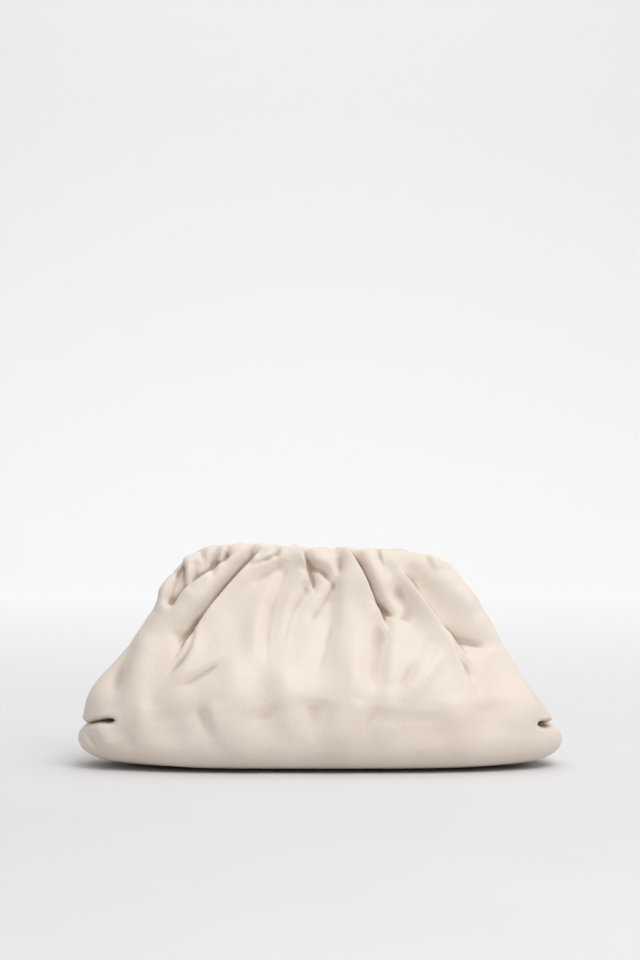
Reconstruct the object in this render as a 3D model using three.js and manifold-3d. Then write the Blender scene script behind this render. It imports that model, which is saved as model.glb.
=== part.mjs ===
// A soft leather pouch clutch. A front panel and a back panel are gathered over a hidden frame,
// sewn together along both ends and the middle of the sole, and open between the frame's arches.
// Millimetres, +Z up. X runs along the pouch and the front faces -Y. The origin is the middle of
// the sole, on the surface that the pouch rests on.
import * as THREE from "three";
import { mergeVertices } from "three/addons/utils/BufferGeometryUtils.js";
import Module from "manifold-3d";

const wasm = await Module();
wasm.setup();

// Driving dimensions of the leather
const HEIGHT = 170; // sole to the crest of the gathered rim
const BODY_LEFT = 190; // middle to the left end of the lower lip
const BODY_RIGHT = 190; // middle to the right end of the lower lip
const BODY_FRONT = 71; // middle to the fullest part of the front
const BODY_BACK = 71; // middle to the fullest part of the back
const RIM_LEFT = 123; // middle to the left end of the gathered rim
const RIM_RIGHT = 113; // middle to the right end of the gathered rim
const RIM_DEPTH = 18; // middle to the outside of the rim, front and back
const RIM_DROP = 7; // how much lower the rim lies towards its right end
const MOUTH_LEFT = 97; // middle to the left end of the facing inside the mouth
const MOUTH_RIGHT = 88; // middle to the right end of the facing inside the mouth
const MOUTH_GAP = 7.2; // slit between the front facing and the back facing
const LEATHER = 2; // lined leather wall
const SEAM_GAP = 0.3; // between the edges of the two panels
const END_FOLD = 16; // how deep each end folds inward under the frame
const END_ROLL = 3; // extra half width of that fold, for the rolled edges beside it

// Driving dimensions of the tucks over the lower lips
const TUCK_DEPTH = 26; // how far a tuck reaches in at the middle of an end
const TUCK_LIP = 5; // height of the leather that turns into a tuck, above it and below it
const TUCK_PINCH = 0.4; // share of that height that is left inside the tuck
const TUCK_START_LEFT = 0.7; // share of the way from the middle to the end where a tuck starts
const TUCK_START_RIGHT = 0.86;

// Units of the gathers
const FOLD_RISE = 5; // how far a fold of 1 stands or sinks
const FOLD_REACH = 10; // how far a fold of 1 spreads to one side of its line

// Driving dimensions of the frame
const ROD = 4; // thickness of each arch
const ROD_GAP = 0.4; // between an arch and the facing that it carries
const HINGE_GAP = 2.6; // how much further an arch stands from the facing at its ends
const HINGE_WIDTH = 6.4; // across the eye that joins the arches at each end

// How finely the pieces are faceted
const COLUMNS = 44;
const CURVE_STEPS = 60; // steps for measuring along a section
const LINE_STEPS = 8; // straight pieces of a fold's line
const ROD_STEPS = 28;
const ROD_SIDES = 8;
const SLOPE_STEP = 0.01; // of a row or of the way round, for the direction a point faces

// Rows of numbers as objects with named columns.
const table = (columns, rows) =>
  rows.map((row) => Object.fromEntries(columns.split(" ").map((name, i) => [name, row[i]])));

// Level sections from the hem inside the mouth, over the crest and down to the seam of the sole.
// up, end: height in the middle and at the ends, as shares of HEIGHT
// hem: share of the way in from the rim to the slit of the mouth
// left, right, belly: shares of the way out from the rim to the body, to each end and in depth
// sole: share of the way in from there to the seam under the sole
// level: how far the section runs level before it drops towards the ends
// square: squareness of the section, where 2 is an ellipse
// gather, fold: shares of the gathers and of the inward fold of the ends
const SECTIONS = table("up end hem left right belly sole level square gather fold", [
  [0.865, 0.62, 1, 0, 0, 0, 0, 8, 9, 0, 0],
  [0.93, 0.665, 0.97, 0, 0, 0, 0, 8, 8, 0, 0],
  [0.976, 0.704, 0.8, 0, 0, 0, 0, 8, 6.5, 0.15, 0.1],
  [1, 0.735, 0.5, 0, 0, 0, 0, 8, 5.5, 0.4, 0.3],
  [0.982, 0.747, 0.2, 0, 0, 0, 0, 8, 5, 0.7, 0.55],
  [0.93, 0.741, 0, 0, 0, 0, 0, 8, 4.6, 0.95, 0.75],
  [0.841, 0.706, 0, 0.06, 0.065, 0.066, 0, 7, 4, 1, 0.95],
  [0.73, 0.635, 0, 0.22, 0.23, 0.22, 0, 5.5, 3.4, 1, 1],
  [0.606, 0.541, 0, 0.45, 0.44, 0.45, 0, 4, 3, 1, 0.94],
  [0.482, 0.435, 0, 0.69, 0.61, 0.69, 0, 3, 2.8, 1, 0.81],
  [0.365, 0.335, 0, 0.88, 0.75, 0.89, 0, 2.5, 2.7, 1, 0.65],
  [0.27, 0.253, 0, 0.97, 0.88, 1, 0, 2.5, 2.7, 1, 0.45],
  [0.188, 0.188, 0, 0.99, 0.95, 0.985, 0, 2.5, 2.7, 1, 0.15],
  [0.106, 0.118, 0, 1, 1, 0.92, 0, 2.5, 2.8, 0.8, 0],
  [0.05, 0.062, 0, 0.95, 0.97, 0.8, 0, 2.5, 2.8, 0.4, 0],
  [0.012, 0.02, 0, 0.8, 0.86, 0.62, 0, 2.5, 2.8, 0.1, 0],
  [0, 0, 0, 0.58, 0.7, 0.43, 0, 2.5, 2.8, 0, 0],
  [0, 0, 0, 0.4, 0.52, 0.36, 0.5, 2.5, 3, 0, 0],
  [0, 0, 0, 0.2, 0.36, 0.3, 1, 2.5, 3, 0, 0],
]);
const LAST = SECTIONS.length - 1;
const FACING_ROW = 0.5; // where the frame lies against the facing, counted in sections
const TUCK_ROW = 12; // the section at the height of the tucks

// Rows of facets, counted in sections, and those at the tucks as shares of their lips
const ROWS_ABOVE = [0, 1, 1.8, 2.5, 3, 3.5, 4.2, 5, 5.8, 6.5, 7.2, 7.9, 8.6, 9.3, 10, 10.7, 11.3];
const ROWS_OF_TUCK = [-1, -0.62, -0.25, 0.25, 0.62, 1];
const ROWS_BELOW = [13, 13.7, 14.4, 15.2, 16, LAST];

// Gathers of the front. Each row is one fold along a line that bends through three places.
// x0 z0 x1 z1 x2 z2: those places from the top down, as shares of the body's reach and of HEIGHT
// left, right: how far the leather stands (+) or sinks (-) to each side of the line, in FOLD_RISE
// wide, sharp: how far that spreads, and the width of the step at the line, in FOLD_REACH
// start, end: shares of the fold that are left where its line starts and ends
const FOLD_COLUMNS = "x0 z0 x1 z1 x2 z2 left right wide sharp start end";
const FRONT_FOLDS = table(FOLD_COLUMNS, [
  [-0.23, 0.98, -0.37, 0.8, -0.53, 0.51, 1, -0.9, 1.2, 0.4, 1, 0],
  [-0.37, 1.01, -0.5, 0.855, -0.66, 0.71, -0.8, 0.7, 1, 0.4, 1, 0.1],
  [-0.3, 0.99, -0.43, 0.82, -0.6, 0.61, 0.5, 0.5, 1.1, 0.3, 1, 0.1],
  [-0.7, 0.67, -0.76, 0.54, -0.79, 0.34, 0.7, 0.7, 1, 0.3, 0.2, 0.1],
  [-0.49, 0.58, -0.62, 0.57, -0.75, 0.6, -0.4, -0.7, 0.8, 0.5, 0.6, 0.1],
  [-0.19, 0.97, -0.27, 0.86, -0.36, 0.73, -0.7, -0.6, 0.9, 0.5, 0.8, 0],
  [-0.066, 1, -0.058, 0.92, -0.046, 0.85, 0.7, -0.8, 0.9, 0.4, 1, 0.5],
  [-0.025, 0.96, -0.008, 0.91, 0.01, 0.855, -0.6, -0.6, 0.9, 0.4, 0.8, 0.8],
  [-0.155, 0.81, -0.18, 0.7, -0.215, 0.54, -0.5, -0.5, 0.65, 0.4, 0.1, 0.1],
  [-0.05, 0.84, -0.12, 0.7, -0.155, 0.55, -0.5, -0.5, 0.65, 0.4, 0.4, 0.1],
  [0.095, 0.99, 0.055, 0.83, -0.005, 0.67, -0.7, 0.6, 0.9, 0.4, 1, 0.1],
  [0.115, 1, 0.175, 0.825, 0.3, 0.655, 0.9, -1.1, 1.1, 0.4, 1, 0.2],
  [0.29, 0.83, 0.35, 0.705, 0.395, 0.6, -0.6, -0.6, 0.75, 0.4, 0.1, 0.1],
  [0.33, 0.91, 0.47, 0.69, 0.63, 0.37, 0.7, -0.9, 1, 0.4, 0.3, 0.1],
  [0.4, 0.97, 0.46, 0.81, 0.54, 0.61, -0.6, -0.6, 1.1, 0.4, 0.5, 0.1],
  [0.55, 0.59, 0.64, 0.56, 0.73, 0.525, -0.4, -0.6, 0.7, 0.4, 0.3, 0.2],
  [0.48, 0.57, 0.38, 0.42, 0.29, 0.27, 0.5, 0.4, 0.65, 0.3, 0.2, 0.3],
  [0.03, 0.67, 0.008, 0.52, -0.055, 0.36, -0.4, -0.4, 0.8, 0.3, 0.2, 0.1],
  [-0.46, 0.34, -0.43, 0.26, -0.4, 0.16, 0.5, -0.6, 0.8, 0.4, 0.2, 0.2],
  [0.65, 0.755, 0.77, 0.54, 0.91, 0.26, 0.4, -0.6, 0.8, 0.5, 0.3, 0.5],
  [-0.585, 0.89, -0.575, 0.825, -0.6, 0.755, -0.8, -0.8, 0.7, 0.3, 0.9, 0.9],
  [-0.14, 0.51, -0.13, 0.37, -0.11, 0.26, 0.4, 0.4, 1.5, 0.3, 0.2, 0.4],
  [0.11, 0.71, 0.13, 0.49, 0.14, 0.34, 0.5, 0.5, 1.6, 0.3, 0.4, 0.2],
  [-0.36, 0.57, -0.33, 0.41, -0.29, 0.29, 0.4, 0.4, 1.6, 0.3, 0.2, 0.3],
]);

// Gathers of the back in the same columns, with left and right as seen from the front
const BACK_FOLDS = table(FOLD_COLUMNS, [
  [0.52, 0.95, 0.6, 0.8, 0.72, 0.6, -0.7, 0.6, 0.9, 0.4, 1, 0.1],
  [0.4, 1, 0.46, 0.8, 0.58, 0.5, -0.8, 0.8, 1.1, 0.4, 1, 0],
  [0.28, 0.98, 0.3, 0.86, 0.33, 0.73, -0.6, -0.6, 0.8, 0.5, 0.9, 0.1],
  [0.17, 1, 0.2, 0.78, 0.26, 0.46, -0.9, 0.8, 1.1, 0.4, 1, 0.1],
  [0.05, 0.98, 0.04, 0.85, 0.03, 0.7, -0.6, -0.6, 0.8, 0.4, 0.9, 0.1],
  [-0.06, 1, -0.09, 0.78, -0.14, 0.5, 0.8, -0.9, 1.1, 0.4, 1, 0.1],
  [-0.19, 0.98, -0.21, 0.85, -0.25, 0.72, -0.6, -0.6, 0.8, 0.4, 0.9, 0.1],
  [-0.29, 1, -0.38, 0.78, -0.52, 0.48, 0.9, -0.9, 1.1, 0.4, 1, 0],
  [-0.43, 0.98, -0.5, 0.84, -0.6, 0.68, 0.6, -0.7, 0.9, 0.4, 1, 0.1],
  [0.36, 0.6, 0.4, 0.45, 0.46, 0.3, -0.4, -0.4, 0.8, 0.3, 0.2, 0.1],
  [-0.3, 0.55, -0.28, 0.42, -0.24, 0.3, -0.4, -0.4, 0.9, 0.3, 0.2, 0.1],
  [0.1, 0.6, 0.08, 0.42, 0.04, 0.26, 0.5, 0.5, 1.5, 0.3, 0.2, 0.3],
  [-0.4, 0.5, -0.4, 0.38, -0.38, 0.26, 0.4, 0.4, 1.5, 0.3, 0.2, 0.3],
  [0.5, 0.3, 0.46, 0.24, 0.42, 0.18, -0.5, 0.4, 0.8, 0.4, 0.2, 0.2],
]);

const LEFT = { sign: -1, out: "left", tuck: TUCK_START_LEFT };
Object.assign(LEFT, { rim: RIM_LEFT, mouth: MOUTH_LEFT, body: BODY_LEFT });
const RIGHT = { sign: 1, out: "right", tuck: TUCK_START_RIGHT };
Object.assign(RIGHT, { rim: RIM_RIGHT, mouth: MOUTH_RIGHT, body: BODY_RIGHT });
const FRONT = { facing: -1, depth: BODY_FRONT, folds: FRONT_FOLDS };
const BACK = { facing: 1, depth: BODY_BACK, folds: BACK_FOLDS };

const { lerp, clamp, smoothstep } = THREE.MathUtils;
const sideOf = (around) => (around < 0 ? LEFT : RIGHT);

// One column of the sections at a fractional row, on a smooth curve that never overshoots.
function between(column, row) {
  const i = Math.min(Math.floor(row), LAST - 1);
  const value = (k) => SECTIONS[clamp(k, 0, LAST)][column];
  const slope = (k) => {
    const before = value(k) - value(k - 1);
    const after = value(k + 1) - value(k);
    return before * after > 0 ? (before + after) / 2 : 0;
  };
  const t = row - i;
  return (
    value(i) + (value(i + 1) - value(i)) * t * t * (3 - 2 * t) +
    slope(i) * t * (1 - t) ** 2 - slope(i + 1) * t * t * (1 - t)
  );
}

// The point at a share of the way along a quarter section, from its middle to its end.
function alongSection(reach, depth, square, share) {
  const points = [];
  let length = 0;
  for (let i = 0; i <= CURVE_STEPS; i++) {
    const angle = (Math.PI / 2) * (1 - i / CURVE_STEPS);
    const x = reach * Math.abs(Math.cos(angle)) ** (2 / square);
    const y = depth * Math.abs(Math.sin(angle)) ** (2 / square);
    if (i) length += Math.hypot(x - points[i - 1].x, y - points[i - 1].y);
    points.push({ x, y, length });
  }
  const wanted = Math.min(length * share, length);
  const i = Math.max(1, points.findIndex((point) => point.length >= wanted));
  const [a, b] = [points[i - 1], points[i]];
  const t = (wanted - a.length) / (b.length - a.length);
  return { x: lerp(a.x, b.x, t), y: lerp(a.y, b.y, t) };
}

// A point of a panel before its gathers. around runs from -1 at the left seam to 1 at the right.
function bareLeather(panel, around, row) {
  const side = sideOf(around);
  const share = Math.abs(around);
  const at = (column) => between(column, row);
  const wall = lerp(lerp(RIM_DEPTH, MOUTH_GAP / 2, at("hem")), panel.depth, at("belly"));
  const depth = lerp(wall, SEAM_GAP / 2, at("sole"));
  const reach = lerp(lerp(side.rim, side.mouth, at("hem")), side.body, at(side.out));
  const square = at("square");
  const { x, y } = alongSection(reach, depth, square, share);

  const rolled = Math.min(y / (depth / 2 + END_ROLL), 1);
  const fold = (at("fold") * END_FOLD * (1 + Math.cos(Math.PI * rolled))) / 2;
  const dropped = (1 - Math.cos(Math.PI * share ** at("level"))) / 2;
  const arched = lerp(at("up"), at("end"), dropped) * HEIGHT;
  const towardsRight = smoothstep(side.sign * x, -RIM_LEFT / 2, RIM_RIGHT * 0.7);
  const z = arched - RIM_DROP * towardsRight * smoothstep(arched, HEIGHT * 0.6, HEIGHT);

  const tuckHeight = SECTIONS[TUCK_ROW].up * HEIGHT;
  const away = Math.min(Math.abs(z - tuckHeight) / TUCK_LIP, 1);
  const spread = smoothstep(share, side.tuck, 1);
  const turn = spread * TUCK_DEPTH * (1 - away) ** 1.6;
  const pinch = lerp(1, lerp(TUCK_PINCH, 1, smoothstep(away, 0.6, 1)), spread);
  const level = new THREE.Vector2((x / reach) ** (square - 1) / reach, (y / depth) ** (square - 1) / depth);
  level.setLength(turn);
  return new THREE.Vector3(
    side.sign * (x - fold - level.x),
    panel.facing * Math.max(y - level.y, SEAM_GAP / 2),
    lerp(tuckHeight, z, pinch),
  );
}

// The direction that a panel's bare leather faces, level where it meets the other panel's edge.
function facing(panel, around, row) {
  const point = (a, r) => bareLeather(panel, clamp(a, -1, 1), clamp(r, 0, LAST));
  const across = point(around + SLOPE_STEP, row).sub(point(around - SLOPE_STEP, row));
  const down = point(around, row + SLOPE_STEP).sub(point(around, row - SLOPE_STEP));
  const normal = across.cross(down).multiplyScalar(panel.facing);
  if (Math.abs(around) === 1 || row === LAST) normal.y = 0;
  return normal.normalize();
}

// How far one fold lifts the leather at a place seen from the front.
function foldHeight(fold, x, z) {
  let nearest = { distance: Infinity };
  for (let i = 0; i < LINE_STEPS; i++) {
    const step = fold.line[i + 1].clone().sub(fold.line[i]);
    const to = new THREE.Vector2(x, z).sub(fold.line[i]);
    const t = clamp(to.dot(step) / step.lengthSq(), 0, 1);
    const distance = to.distanceTo(step.clone().multiplyScalar(t));
    if (distance >= nearest.distance) continue;
    nearest = { distance, off: step.cross(to) / step.length(), along: (i + t) / LINE_STEPS };
  }
  const { distance, off, along } = nearest;
  const wide = fold.wide * FOLD_REACH;
  const sharp = fold.sharp * FOLD_REACH;
  const side = lerp(fold.left, fold.right, smoothstep(off, -sharp, sharp));
  const opening = lerp(fold.start, 1, smoothstep(along, 0, 0.35));
  const closing = lerp(1, fold.end, smoothstep(along, 0.55, 1));
  return FOLD_RISE * side * opening * closing * Math.exp(-((distance / wide) ** 2));
}

// The bent line of a fold, through its three places.
function foldLine(fold) {
  const [start, through, end] = [0, 1, 2].map((i) => {
    const share = fold["x" + i];
    return new THREE.Vector2(share * (share < 0 ? BODY_LEFT : BODY_RIGHT), fold["z" + i] * HEIGHT);
  });
  const bend = through.clone().multiplyScalar(2).sub(start.clone().add(end).multiplyScalar(0.5));
  return new THREE.QuadraticBezierCurve(start, bend, end).getPoints(LINE_STEPS);
}

// A point of a panel's outer face and the point of its inner face behind it.
function leatherAt(panel, around, row) {
  const bare = bareLeather(panel, around, row);
  const normal = facing(panel, around, row);
  const calm = 1 - smoothstep(Math.abs(around), sideOf(around).tuck, 1);
  const lift = panel.folds.reduce((sum, fold) => sum + foldHeight(fold, bare.x, bare.z), 0);
  const outer = lift * between("gather", row) * calm;
  return [outer, outer - LEATHER].map((offset) => {
    const point = bare.clone().addScaledVector(normal, offset);
    point.y = panel.facing * Math.max(point.y * panel.facing, SEAM_GAP / 2);
    return point;
  });
}

// The rows of a panel at one place round it: even down the front, and crowded into the tucks.
function rowsAt(around) {
  const side = sideOf(around);
  const rowHeight = ((SECTIONS[TUCK_ROW - 1].end - SECTIONS[TUCK_ROW + 1].end) * HEIGHT) / 2;
  const crowded = smoothstep(Math.abs(around), side.tuck - 0.2, side.tuck);
  const [above, below] = [ROWS_ABOVE.at(-1), ROWS_BELOW[0]];
  const tuckRows = ROWS_OF_TUCK.map((share, i) => {
    const even = lerp(above, below, (i + 1) / (ROWS_OF_TUCK.length + 1));
    return lerp(even, TUCK_ROW + (share * TUCK_LIP) / rowHeight, crowded);
  });
  return [...ROWS_ABOVE, ...tuckRows, ...ROWS_BELOW];
}

// A panel as one closed wall: its outer face, its inner face, and the edges that join them.
function panelGeometry(panel) {
  const rows = rowsAt(0).length;
  const outer = [];
  const inner = [];
  for (let c = 0; c <= COLUMNS; c++) {
    const around = (2 * c) / COLUMNS - 1;
    for (const row of rowsAt(around)) {
      const [face, back] = leatherAt(panel, around, row);
      outer.push(...face);
      inner.push(...back);
    }
  }
  const count = outer.length / 3;
  const corners = [];
  const quad = (a, b, c, d) => corners.push(a, b, c, a, c, d);
  for (let c = 0; c < COLUMNS; c++) {
    for (let r = 0; r < rows - 1; r++) {
      const a = c * rows + r;
      quad(a, a + 1, a + rows + 1, a + rows);
      quad(count + a, count + a + rows, count + a + rows + 1, count + a + 1);
    }
  }
  const hem = Array.from({ length: COLUMNS }, (_, c) => c * rows);
  const rightSeam = Array.from({ length: rows - 1 }, (_, r) => COLUMNS * rows + r);
  const sole = hem.map((a) => a + 2 * rows - 1).reverse();
  const leftSeam = Array.from({ length: rows - 1 }, (_, r) => rows - 1 - r);
  const edge = [...hem, ...rightSeam, ...sole, ...leftSeam];
  edge.forEach((a, i) => {
    const b = edge[(i + 1) % edge.length];
    quad(a, b, count + b, count + a);
  });
  if (panel.facing > 0) corners.reverse();
  const geometry = new THREE.BufferGeometry();
  geometry.setAttribute("position", new THREE.Float32BufferAttribute([...outer, ...inner], 3));
  geometry.setIndex(corners);
  geometry.computeVertexNormals();
  return geometry;
}

// A closed mesh as a solid that can be joined to others.
function solid(geometry) {
  const bare = new THREE.BufferGeometry();
  bare.setAttribute("position", geometry.getAttribute("position"));
  bare.setIndex(geometry.getIndex());
  const merged = mergeVertices(bare, 1e-4);
  return new wasm.Manifold(
    new wasm.Mesh({
      numProp: 3,
      vertProperties: merged.attributes.position.array,
      triVerts: new Uint32Array(merged.index.array),
    }),
  );
}

// How far the middle of an arch lies behind the face of the leather that it carries.
function rodOffset(around) {
  return LEATHER + ROD_GAP + HINGE_GAP * smoothstep(Math.abs(around), 0.7, 0.88) + ROD / 2;
}

// One arch of the frame, along the hidden side of a panel's facing.
function archGeometry(panel) {
  const places = Array.from({ length: ROD_STEPS + 1 }, (_, i) => {
    const around = (2 * i) / ROD_STEPS - 1;
    const bare = bareLeather(panel, around, FACING_ROW);
    return bare.addScaledVector(facing(panel, around, FACING_ROW), -rodOffset(around));
  });
  const round = new THREE.Shape().absarc(0, 0, ROD / 2, 0, 2 * Math.PI);
  return new THREE.ExtrudeGeometry(round, {
    steps: ROD_STEPS,
    curveSegments: ROD_SIDES / 2,
    bevelEnabled: false,
    extrudePath: new THREE.CatmullRomCurve3(places),
  });
}

// Both arches and the eye that joins them at each end, as one piece.
function frameGeometry() {
  const eyes = [-1, 1].map((around) => {
    const end = bareLeather(FRONT, around, FACING_ROW);
    const eye = new THREE.CylinderGeometry(HINGE_WIDTH / 2, HINGE_WIDTH / 2, ROD, 2 * ROD_SIDES);
    eye.rotateZ(Math.PI / 2);
    return eye.translate(end.x + around * rodOffset(around), 0, end.z);
  });
  const joined = [archGeometry(FRONT), archGeometry(BACK), ...eyes].map(solid).reduce((a, b) => a.add(b));
  const { vertProperties, triVerts } = joined.getMesh();
  const geometry = new THREE.BufferGeometry();
  geometry.setAttribute("position", new THREE.BufferAttribute(vertProperties, 3));
  geometry.setIndex(new THREE.BufferAttribute(triVerts, 1));
  geometry.computeVertexNormals();
  return geometry;
}

const leather = new THREE.MeshStandardMaterial({ color: 0xeadfd3, roughness: 0.5, metalness: 0 });
const steel = new THREE.MeshStandardMaterial({ color: 0xb9bbbd, roughness: 0.35, metalness: 1 });

const pouch = new THREE.Group();
for (const panel of [FRONT, BACK]) {
  for (const fold of panel.folds) fold.line = foldLine(fold);
}
const pieces = [
  ["front_panel", panelGeometry(FRONT), leather],
  ["back_panel", panelGeometry(BACK), leather.clone()],
  ["mouth_frame", frameGeometry(), steel],
];
for (const [name, geometry, material] of pieces) {
  const mesh = new THREE.Mesh(geometry, material);
  mesh.name = name;
  pouch.add(mesh);
}

export default pouch;
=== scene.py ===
"""Cloud pouch bag: a soft leather clutch, gathered over a hidden frame and folded in at both ends.

Metres, +Z up. X runs along the bag, the front faces -Y, and the origin is the middle of the sole.
The two leather panels are closed walls whose outer faces are lofted through level sections, from
the hem inside the mouth, over the gathered rim and down to the seam under the sole. Gathers are
laid over that form along bent lines.
"""

import math

import bpy
import numpy as np
from bpy.props import FloatProperty, FloatVectorProperty, PointerProperty
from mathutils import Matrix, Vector


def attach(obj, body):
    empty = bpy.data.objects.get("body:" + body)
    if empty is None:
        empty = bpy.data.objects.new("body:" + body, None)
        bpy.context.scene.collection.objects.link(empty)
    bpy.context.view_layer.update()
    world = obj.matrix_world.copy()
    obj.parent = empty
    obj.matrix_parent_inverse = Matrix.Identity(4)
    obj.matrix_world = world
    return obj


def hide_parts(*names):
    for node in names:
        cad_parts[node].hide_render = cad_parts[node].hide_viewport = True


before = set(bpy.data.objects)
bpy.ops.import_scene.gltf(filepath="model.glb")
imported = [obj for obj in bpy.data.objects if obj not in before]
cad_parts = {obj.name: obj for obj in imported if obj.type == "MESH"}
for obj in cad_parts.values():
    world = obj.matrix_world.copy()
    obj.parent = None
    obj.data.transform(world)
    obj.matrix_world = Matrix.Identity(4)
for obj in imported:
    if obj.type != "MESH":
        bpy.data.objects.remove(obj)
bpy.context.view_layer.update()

bl_info = {
    "name": "Cloud Pouch Bag",
    "version": (1, 0, 0),
    "blender": (4, 5, 0),
    "location": "3D View > Sidebar > Pouch",
    "description": "Builds a soft leather pouch clutch with gathers, and its stage",
    "category": "Add Mesh",
}

MM = 0.001

# Level sections of the pouch.
# up, end: height in the middle and at the ends, as shares of the height
# hem: share of the way in from the rim to the slit of the mouth
# left, right, belly: shares of the way out from the rim to the body, to each end and in depth
# sole: share of the way in from there to the seam under the sole
# level: how far the section runs level before it drops towards the ends
# square: squareness of the section, where 2 is an ellipse
# gather, fold: shares of the gathers and of the inward fold of the ends
SECTION_COLUMNS = "up end hem left right belly sole level square gather fold"
SECTIONS = [
    (0.865, 0.62, 1, 0, 0, 0, 0, 8, 9, 0, 0),
    (0.93, 0.665, 0.97, 0, 0, 0, 0, 8, 8, 0, 0),
    (0.976, 0.704, 0.8, 0, 0, 0, 0, 8, 6.5, 0.3, 0.1),
    (1, 0.735, 0.56, 0, 0, 0, 0, 8, 5.5, 0.45, 0.3),
    (0.982, 0.747, 0.28, 0, 0, 0, 0, 8, 5, 0.7, 0.55),
    (0.93, 0.741, 0.08, 0, 0, 0, 0, 8, 4.6, 0.9, 0.75),
    (0.841, 0.706, 0, 0.06, 0.065, 0.085, 0, 7, 4, 1, 0.95),
    (0.73, 0.635, 0, 0.26, 0.25, 0.24, 0, 5.5, 3.4, 1, 1),
    (0.606, 0.541, 0, 0.51, 0.45, 0.45, 0, 4, 3, 1, 0.94),
    (0.482, 0.435, 0, 0.76, 0.62, 0.69, 0, 3, 2.8, 1, 0.81),
    (0.365, 0.335, 0, 0.95, 0.8, 0.885, 0, 2.5, 2.7, 1, 0.65),
    (0.27, 0.253, 0, 1, 0.93, 0.962, 0, 2.5, 2.7, 1, 0.45),
    (0.188, 0.188, 0, 1, 0.97, 0.998, 0, 2.5, 2.7, 1, 0.15),
    (0.108, 0.126, 0, 1, 1, 0.96, 0, 2.5, 2.8, 0.8, 0),
    (0.055, 0.082, 0, 0.95, 0.97, 0.87, 0, 2.5, 2.8, 0.4, 0),
    (0.026, 0.046, 0, 0.8, 0.86, 0.735, 0, 2.5, 2.8, 0.1, 0),
    (0.011, 0.024, 0, 0.58, 0.7, 0.49, 0, 2.5, 2.8, 0, 0),
    (0, 0.008, 0, 0.4, 0.52, 0.36, 0.5, 2.5, 3, 0, 0),
    (0, 0.003, 0, 0.2, 0.36, 0.3, 1, 2.5, 3, 0, 0),
]
LAST = len(SECTIONS) - 1
TUCK_ROW = 12

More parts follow.
